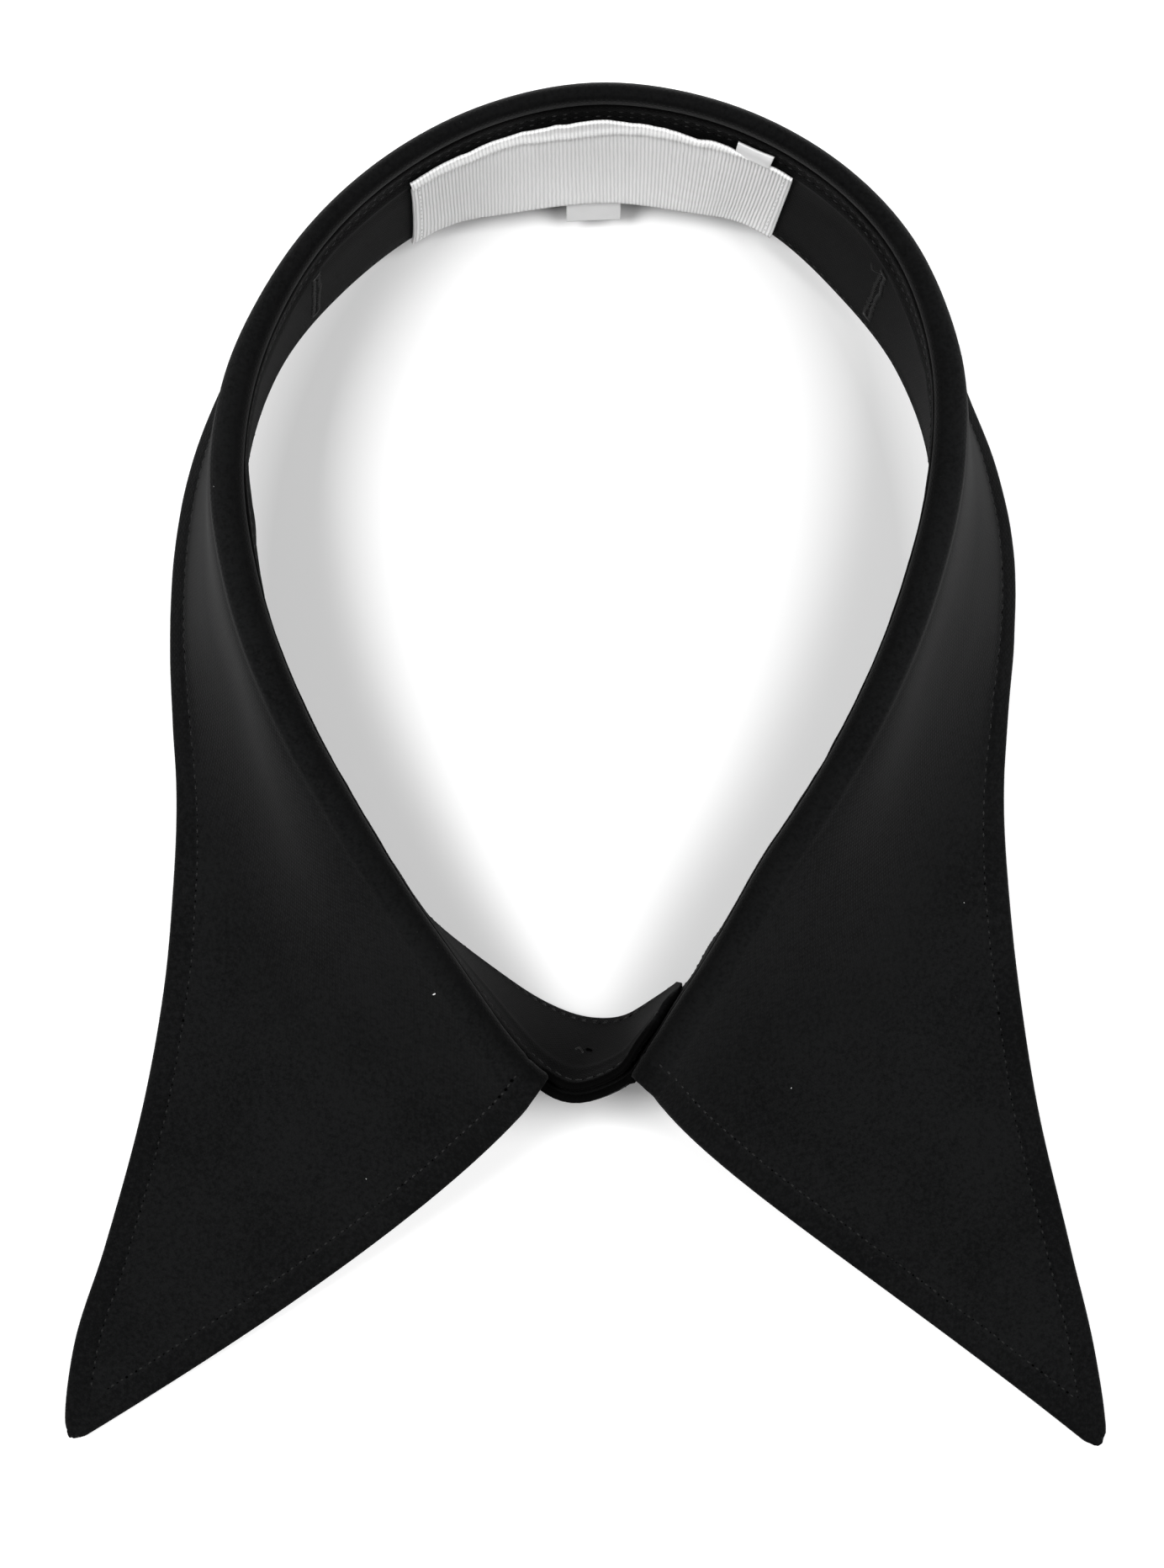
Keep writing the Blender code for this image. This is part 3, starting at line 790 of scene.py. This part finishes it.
def make_labels():
    label = ribbon_grid("label_ribbon", LABEL_SPAN, LABEL_DEPTHS, 150, 56, label_bend, LABEL_SKEW)
    tag = ribbon_grid("hanging_tag_satin", TAG_SPAN, (TAG_DEPTHS[0] - 0.6, TAG_DEPTHS[1]), 36, 26, tag_bend)
    end_depths = (TAG_END_DEPTHS[0], TAG_END_DEPTHS[1] + 0.8)
    end = ribbon_grid("tag_end_fold", TAG_END_SPAN, end_depths, 28, 14, folded_bend)
    return label, tag, end


def make_label_stitching(label):
    """A plain row of white stitches down each end of the label."""
    surface = Surface(label)
    shape = bmesh.new()
    depths = [LABEL_DEPTHS[0] + 1.2 + 0.6 * k for k in range(41)]
    for edge, inset in ((LABEL_SPAN[0], 1.3), (LABEL_SPAN[1], -1.3)):
        line = []
        for depth in depths:
            section = StandSection((edge + inset) / (1 - STAND_TAPER * depth) + LABEL_SKEW * depth)
            line.append(section.point(depth, LABEL_OFF - 0.3))
        inward = -StandSection(edge).face
        stitch_line(shape, None, surface, line, lambda point: inward, seed=61)
    return finished(shape, "label_stitching")


# Worked marks on the stand: buttonholes and thread
Buttonhole = namedtuple("Buttonhole", "name along depth length upright slant side")
BUTTONHOLES = [
    Buttonhole("back_buttonhole_left", 56.5, 17.5, 18.0, True, 5.0, -1),
    Buttonhole("back_buttonhole_right", -56.2, 16.0, 17.0, True, -4.0, -1),
    Buttonhole("front_buttonhole", CENTRE_FRONT + 2.5, BUTTON_DEPTH, 14.0, False, 0.0, 1),
]
PURL_PITCH = 0.62
PURL_WIDTH = 0.95


def make_buttonhole(stand, hole):
    """Close bars of thread down both sides of a slit, with a bar across each end."""
    surface = Surface(stand)
    shape = bmesh.new()
    count = round(hole.length / PURL_PITCH)

    def at(step, aside):
        share = step - hole.length / 2
        slip = hole.slant * share / hole.length
        along, depth = (aside + slip, share) if hole.upright else (share, aside)
        section = StandSection(hole.along + along)
        return stand_face(section, hole.depth + depth, hole.side * 0.6), section

    for k in range(count + 1):
        step = hole.length * k / count
        for side in (-1, 1):
            ragged = 0.2 * wander(k, 1.7, 71 + side)
            point, section = at(step, side * (PURL_WIDTH / 2 + 0.2 + ragged))
            beside, _ = at(step, side * PURL_WIDTH * 2)
            skin, normal = surface.face(point, section.face * hole.side)
            add_stitch(shape, skin + normal * 0.04, beside - point, normal, PURL_WIDTH, 0.36)
    for step in (0.0, hole.length):
        for k in range(4):
            point, section = at(step + (k - 1.5) * 0.12, 0)
            beside, _ = at(step, 2)
            skin, normal = surface.face(point, section.face * hole.side)
            add_stitch(shape, skin + normal * 0.09, beside - point, normal, PURL_WIDTH * 2.2, 0.34)
    return finished(shape, hole.name)


def thread_tube(name, points, radius):
    """A short loose thread along a smooth run of points."""
    curve = bpy.data.curves.new(name, "CURVE")
    curve.dimensions = "3D"
    curve.bevel_depth = radius * MM
    curve.bevel_resolution = 2
    curve.use_fill_caps = True
    spline = curve.splines.new("POLY")
    spline.points.add(len(points) - 1)
    for spot, point in zip(spline.points, points):
        spot.co = (*(point * MM), 1)
    holder = bpy.data.objects.new(name + "_curve", curve)
    bpy.context.scene.collection.objects.link(holder)
    mesh = bpy.data.meshes.new_from_object(holder.evaluated_get(bpy.context.evaluated_depsgraph_get()))
    bpy.data.objects.remove(holder)
    shape = bmesh.new()
    shape.from_mesh(mesh)
    bmesh.ops.remove_doubles(shape, verts=shape.verts, dist=1e-6)
    bpy.data.meshes.remove(mesh)
    return finished(shape, name)


def make_button_thread():
    """The button's sewing: two bars through its holes outside, and a small knot inside the lap, which is
    dressed in painted shade.
    """
    shape, knot = bmesh.new(), bmesh.new()
    outer = StandSection(CENTRE_FRONT)
    across = outer.face.cross(outer.down).normalized()
    top = CLOTH / 2 + GAP + BUTTON_HEIGHT - BUTTON_DISH
    half = HOLE_CIRCLE / math.sqrt(2)
    for bar in (-1, 1):
        for k in (-1, 0, 1):
            middle = outer.point(BUTTON_DEPTH + bar * half + k * 0.22, top + 0.16)
            add_stitch(shape, middle, across, outer.face, 2 * half + 0.75, 0.3)
    inner = StandSection(-CENTRE_FRONT)
    beside = inner.face.cross(inner.down).normalized()
    for k in range(2):
        turn = 0.35 * wander(k, 1.3, 81) - 0.3
        middle = inner.point(BUTTON_DEPTH - 0.1 + 0.3 * k, -CLOTH / 2 - 0.05)
        run = beside + inner.down * turn
        add_stitch(knot, middle, run, -inner.face, 1.5, 0.3)
    return finished(shape, "button_thread"), finished(knot, "button_knot")


def make_thread_ends():
    """Loose ends of thread beside the stand's worked marks."""
    made = []
    for name, along, depth, run in (
        ("thread_end_left", 53.4, 8.6, -1.0),
        ("thread_end_front", -CENTRE_FRONT + 1.6, 11.0, 1.0),
    ):
        points = []
        for k in range(9):
            t = k / 8
            section = StandSection(along + run * 2.2 * t)
            off = CLOTH / 2 + 0.1 + 0.9 * math.sin(2.6 * t)
            points.append(section.point(depth - 1.4 * t + 0.9 * t * t, -off))
        made.append(thread_tube(name, points, 0.13))
    return made


# Where the lint lies on the leaf, in x and y, and its longest fibre's length, in millimetres
LINT_SPOTS = ((-22.4, -33.7), (-54.6, 41.3), (31.0, -48.2), (-33.0, -62.0), (57.5, -20.5))
LONGEST_LINT = 0.8


def make_lint(leaf):
    """A few short pale fibres that lie on the black cloth."""
    shape = bmesh.new()
    surface = Surface(leaf)
    for k, (x, y) in enumerate(LINT_SPOTS):
        turn = math.pi * wander(k, 0.7, 91)
        hit, normal, _, _ = surface.tree.ray_cast(Vector((x, y, 60)) * MM, Vector((0, 0, -1)))
        if hit is None:
            continue
        run = Vector((math.cos(turn), math.sin(turn), 0))
        size = LONGEST_LINT if k == 0 else 0.18 + 0.14 * abs(wander(k, 0.9, 92))
        add_stitch(shape, hit / MM + normal * 0.06, run, normal, size, 0.3 * size)
    return finished(shape, "lint_fibres")


class Value:
    """A number that varies over a surface, written with ordinary arithmetic."""

    def __init__(self, shader, socket):
        self.shader = shader
        self.socket = socket

    def maths(self, operation, *others, first=None):
        inputs = [self if first is None else first, *others]
        return self.shader.node("ShaderNodeMath", {"operation": operation}, inputs).value(0)

    def __add__(self, other):
        return self.maths("ADD", other)

    __radd__ = __add__

    def __sub__(self, other):
        return self.maths("SUBTRACT", other)

    def __rsub__(self, other):
        return self.maths("SUBTRACT", self, first=other)

    def __mul__(self, other):
        return self.maths("MULTIPLY", other)

    __rmul__ = __mul__

    def __truediv__(self, other):
        return self.maths("DIVIDE", other)

    def __rtruediv__(self, other):
        return self.maths("DIVIDE", self, first=other)

    def __pow__(self, other):
        return self.maths("POWER", other)

    def __neg__(self):
        return self * -1.0

    def sine(self):
        return self.maths("SINE")

    def size(self):
        return self.maths("ABSOLUTE")

    def least(self, other):
        return self.maths("MINIMUM", other)

    def most(self, other):
        return self.maths("MAXIMUM", other)

    def over(self, other):
        return self.maths("GREATER_THAN", other)


class MadeNode:
    """A node of a material, with its outputs as values."""

    def __init__(self, shader, node):
        self.shader = shader
        self.node = node

    def value(self, name):
        return Value(self.shader, self.node.outputs[name])


class Shader:
    """A Principled material built from expressions."""

    def __init__(self, name, **constants):
        self.material = bpy.data.materials.new(name)
        self.material.use_nodes = True
        self.tree = self.material.node_tree
        self.surface = self.tree.nodes["Principled BSDF"]
        for socket, setting in constants.items():
            self.surface.inputs[socket.replace("_", " ")].default_value = setting

    def node(self, kind, settings=None, inputs=()):
        """Any node: its type, its settings, and the values or links of its sockets."""
        made = self.tree.nodes.new(kind)
        for name, setting in (settings or {}).items():
            setattr(made, name, setting)
        pairs = inputs.items() if isinstance(inputs, dict) else enumerate(inputs)
        for name, given in pairs:
            if isinstance(given, Value):
                self.tree.links.new(given.socket, made.inputs[name])
            else:
                made.inputs[name].default_value = given
        return MadeNode(self, made)

    def attribute(self, name):
        return self.node("ShaderNodeAttribute", {"attribute_name": name}).value("Fac")

    def map_axes(self):
        """The cloth's own map, in millimetres: along the seam, and down from it."""
        flat = self.node("ShaderNodeUVMap", {"uv_map": "cloth"}).value("UV")
        split = self.node("ShaderNodeSeparateXYZ", {}, [flat])
        return split.value("X"), split.value("Y")

    def place_axes(self):
        """The piece's own coordinates, in metres."""
        split = self.node("ShaderNodeSeparateXYZ", {}, [self.place()])
        return split.value("X"), split.value("Y"), split.value("Z")

    def place(self):
        return self.node("ShaderNodeTexCoord").value("Object")

    def clouds(self, size_mm, detail=2.0, roughness=0.5):
        inputs = {"Scale": 1 / (size_mm * MM), "Detail": detail, "Roughness": roughness}
        inputs["Vector"] = self.place()
        return self.node("ShaderNodeTexNoise", {}, inputs).value("Fac")

    def mix_colors(self, share, first, second):
        settings = {"data_type": "RGBA", "clamp_factor": True}
        return self.node("ShaderNodeMix", settings, {0: share, 6: first, 7: second}).value(2)

    def bump(self, height, depth_mm, strength=1.0):
        inputs = {"Height": height, "Distance": depth_mm * MM, "Strength": strength}
        return self.node("ShaderNodeBump", {}, inputs).value("Normal")

    def feed(self, **links):
        for socket, value in links.items():
            self.tree.links.new(value.socket, self.surface.inputs[socket.replace("_", " ")])
        return self.material


def rgb(level, warm=0.0):
    """A near-neutral colour from its linear level."""
    return (level * (1 + warm), level, level * (1 - warm), 1)


def plain_weave(across, down, pitch):
    """Threads passing over and under one another, from 0 in the gaps to 1 on the crowns."""
    turn = math.pi / pitch
    warp, weft = (across * turn).sine(), (down * turn).sine()
    crown = (warp * weft) * 0.5 + 0.5
    gaps = warp.size().least(weft.size())
    return crown * 0.55 + gaps * 0.45


# The cotton's thread spacing, in millimetres
WEAVE_PITCH = 0.42


def collar_cloth(name, sheen, low, high, mottling_and_fold_light, seam_shade_width):
    """Black fine cotton between two levels: a close weave, slubs and a slow uneven tone that on the stand
    is raised to paint light along its folds, with painted shade in a darker band along the turned edge and
    over the first millimetres from the seam, over a width in millimetres given last."""
    shader = Shader(
        name, IOR=1.45, Specular_IOR_Level=0.05, Sheen_Weight=sheen, Sheen_Roughness=0.4
    )
    across, down = shader.map_axes()
    weave = plain_weave(across, down, WEAVE_PITCH)
    slub = shader.clouds(0.7, 3.0, 0.7)
    # Slow uneven tone of the cloth; where its strength is raised, on the stand, it also paints light along
    # the stand's folds.
    mottle_and_fold_light = shader.clouds(16.0, 3.0)
    edge = shader.attribute("edge")
    # Painted shade: past the edge stitching the cloth is painted lighter, so the band along the turned edge
    # stays darker, standing in for that band lying flat.
    field = (edge - EDGE_INSET).over(0.0)
    level = weave * 0.35 + (slub - 0.5) * 3.4 + (mottle_and_fold_light - 0.5) * mottling_and_fold_light + field * 0.3 + 0.2
    ground = shader.mix_colors(level, rgb(low, -0.05), rgb(high, -0.03))
    # Painted shade: the colour darkens to near black over the first millimetres from the seam, over the
    # fold's top on the leaf and under the fold on the stand.
    shade = ((down - 0.8) / seam_shade_width).most(0.0).least(1.0)
    ground = shader.mix_colors(shade, rgb(low * 0.15), ground)
    lint = shader.clouds(0.5, 1.0).over(0.78) * shader.clouds(9.0, 2.0).over(0.56)
    color = shader.mix_colors(lint * 0.25, ground, rgb(0.035))
    rough = slub * 0.12 + 0.74
    height = weave * 0.5 + slub * 0.4
    return shader.feed(Base_Color=color, Roughness=rough, Normal=shader.bump(height, 0.11, 1.0))


def needle_pit_shade():
    """Painted shade: a near-black finish for the blobs that stand for the shadow where the cloth is drawn
    down between two stitches.
    """
    shader = Shader("needle_pit_shade", IOR=1.45, Specular_IOR_Level=0.0)
    cloud = shader.clouds(0.6)
    color = shader.mix_colors(cloud, rgb(0.0004), rgb(0.0010))
    return shader.feed(Base_Color=color, Roughness=cloud * 0.1 + 0.85)


def sewing_thread(name, level):
    """Twisted polyester thread."""
    shader = Shader(name, IOR=1.5, Specular_IOR_Level=0.2, Sheen_Weight=0.08)
    fuzz = shader.clouds(0.35, 2.0)
    color = shader.mix_colors(fuzz, rgb(level * 0.75), rgb(level * 1.2))
    return shader.feed(Base_Color=color, Roughness=fuzz * 0.2 + 0.5, Normal=shader.bump(fuzz, 0.04))


def label_ribbon():
    """White grosgrain: round ribs up the ribbon's width, crossed by fine threads."""
    shader = Shader("white_grosgrain", IOR=1.45, Specular_IOR_Level=0.3, Sheen_Weight=0.15)
    across, down = shader.map_axes()
    uneven = shader.clouds(2.4, 2.0)
    rib = (across * (math.pi / 0.62) + uneven * 0.8).sine().size()
    pick = (down * (math.pi / 0.24)).sine().size()
    shade = rib * 0.75 + pick * 0.25
    color = shader.mix_colors(shade, rgb(0.74, 0.001), rgb(0.95, 0.003))
    height = rib * 0.8 + pick * 0.2
    return shader.feed(Base_Color=color, Roughness=uneven * 0.1 + 0.78, Normal=shader.bump(height, 0.16))


def tag_satin():
    """White satin tape: long floats with a soft gloss."""
    shader = Shader("white_satin", IOR=1.5, Specular_IOR_Level=0.45, Sheen_Weight=0.2)
    _, down = shader.map_axes()
    float_line = (down * (math.pi / 0.17) + shader.clouds(1.2) * 1.5).sine().size()
    color = shader.mix_colors(float_line, rgb(0.62), rgb(0.74))
    rough = float_line * 0.12 + 0.42
    return shader.feed(Base_Color=color, Roughness=rough, Normal=shader.bump(float_line, 0.05))


def button_resin():
    """Black polished resin with the faint clouding of a cast button."""
    shader = Shader("black_resin", IOR=1.54, Specular_IOR_Level=0.5, Coat_Roughness=0.12)
    cloud = shader.clouds(2.6, 3.0)
    color = shader.mix_colors(cloud, rgb(0.006), rgb(0.016))
    return shader.feed(
        Base_Color=color, Roughness=cloud * 0.12 + 0.2, Coat_Weight=cloud * 0.2 + 0.3,
        Normal=shader.bump(shader.clouds(0.5, 2.0), 0.012),
    )


def dress(piece, finish):
    piece.data.materials.clear()
    piece.data.materials.append(finish)


def area_light(name, place, aim, size, power, size_y=None):
    lamp = bpy.data.lights.new(name, "AREA")
    lamp.shape = "RECTANGLE"
    lamp.size = size
    lamp.size_y = size_y or size
    lamp.energy = power
    light = bpy.data.objects.new(name, lamp)
    light.location = place
    light.rotation_euler = (Vector(aim) - Vector(place)).to_track_quat("-Z", "Y").to_euler()
    bpy.context.scene.collection.objects.link(light)


# The photograph's frame, in its pixels, and the size of one of them on the table
PHOTO_WIDTH, PHOTO_HEIGHT = 1384, 1864
PIXEL = 0.128 * MM

OUTLINE_MIDDLE = (695.5, 906.0)
CAMERA_HEIGHT = 1.2
SENSOR = 24.0


def make_camera():
    """Straight above the frame's middle."""
    camera = bpy.data.cameras.new("camera")
    camera.sensor_fit = "VERTICAL"
    camera.sensor_height = SENSOR
    camera.lens = SENSOR * CAMERA_HEIGHT / (PHOTO_HEIGHT * PIXEL)
    holder = bpy.data.objects.new("camera", camera)
    x = (PHOTO_WIDTH / 2 - OUTLINE_MIDDLE[0]) * PIXEL
    y = (OUTLINE_MIDDLE[1] - PHOTO_HEIGHT / 2) * PIXEL - ORIGIN_Y * MM
    holder.location = (x, y, CAMERA_HEIGHT)
    bpy.context.scene.collection.objects.link(holder)
    bpy.context.scene.camera = holder


# Half the open ring's width and length on the table and its middle's y, in metres, which bound the table's
# painted glow and painted shade
RING_REACH = (0.052, 0.072)
RING_MIDDLE = 0.026


def make_studio():
    """A white table, burnt out outside the collar's ring by a painted glow and painted darker inside the
    ring as painted shade; two boxes overhead and one a side.
    """
    bpy.ops.mesh.primitive_plane_add(size=6)
    floor = bpy.context.object
    floor.name = "floor"
    floor.location = (0, 0, -0.0004)
    paper = Shader("white_table", Roughness=0.9, Specular_IOR_Level=0.1, Emission_Strength=1.0)
    tone = paper.clouds(400.0, 1.0)
    x, y, _ = paper.place_axes()
    across, along = x / RING_REACH[0], (y - RING_MIDDLE) / RING_REACH[1]
    # Painted light and shade: outside the ring the table glows and is lighter; inside it the table is
    # painted darker.
    outside = ((across * across + along * along - 0.85) / 0.4).most(0.0).least(1.0)
    sheet = paper.mix_colors(tone, rgb(0.9), rgb(0.92))
    floor.data.materials.append(
        paper.feed(
            Base_Color=paper.mix_colors(outside, rgb(0.85), sheet),
            Emission_Color=paper.mix_colors(outside, rgb(0.0), rgb(0.3)),
        )
    )
    area_light("overhead_left", (-0.66, 0.12, 1.45), (0, 0, 0), 0.5, 20.0)
    area_light("overhead_right", (0.62, 0.12, 1.45), (0, 0, 0), 0.6, 17.0)
    area_light("side_left", (-1.1, 0.25, 0.26), (0, 0, 0.03), 0.5, 2.8, 0.3)
    area_light("side_right", (1.1, 0.25, 0.26), (0, 0, 0.03), 0.5, 3.0, 0.3)
    world = bpy.data.worlds.new("studio")
    world.use_nodes = True
    world.node_tree.nodes["Background"].inputs["Color"].default_value = (1, 1, 1, 1)
    world.node_tree.nodes["Background"].inputs["Strength"].default_value = 0.15
    bpy.context.scene.world = world
    bpy.context.scene.view_settings.view_transform = "Standard"


def build():
    make_camera()
    make_studio()
    black = collar_cloth("leaf_cotton", 0.04, 0.0021, 0.0058, 1.3, 4.2)
    # The stand's cotton is a darker copy of the leaf's cotton: painted shade for the stand, which sits in
    # shade inside the ring and under the fold, with its uneven tone raised to paint light along its folds.
    shaded_stand_black = collar_cloth("stand_cotton_shaded", 0.01, 0.0009, 0.0032, 3.4, 0.6)
    shade = needle_pit_shade()
    thread = sewing_thread("black_thread", 0.0055)
    white_thread = sewing_thread("white_thread", 0.7)
    ribbon, satin, resin = label_ribbon(), tag_satin(), button_resin()

    leaf, sections, border = make_leaf()
    stand = make_stand()
    dress(leaf, black)
    dress(stand, shaded_stand_black)
    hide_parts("leaf")
    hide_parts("stand")
    label, tag, end = make_labels()
    dress(label, ribbon)
    dress(tag, satin)
    dress(end, satin)
    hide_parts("label")
    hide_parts("hanging_tag")
    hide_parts("tag_end")
    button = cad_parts["front_button"]
    for slot in button.material_slots:
        slot.material = resin

    leaf_rows_sewn, leaf_pit_shades = make_topstitching(leaf, sections, border)
    stand_rows_sewn, stand_pit_shades = make_stand_stitching(stand)
    # The blobs at the needle holes are dressed in painted shade.
    for pit_shades in (leaf_pit_shades, stand_pit_shades):
        dress(pit_shades, shade)
    sewn = leaf_rows_sewn + stand_rows_sewn
    sewn += [make_buttonhole(stand, hole) for hole in BUTTONHOLES]
    bars, knot = make_button_thread()
    # The knot inside the lap is dressed in the near-black painted shade, not in thread.
    dress(knot, shade)
    sewn += [bars, *make_thread_ends()]
    for piece in sewn:
        dress(piece, thread)
    dress(make_label_stitching(label), white_thread)
    dress(make_lint(leaf), white_thread)


build()
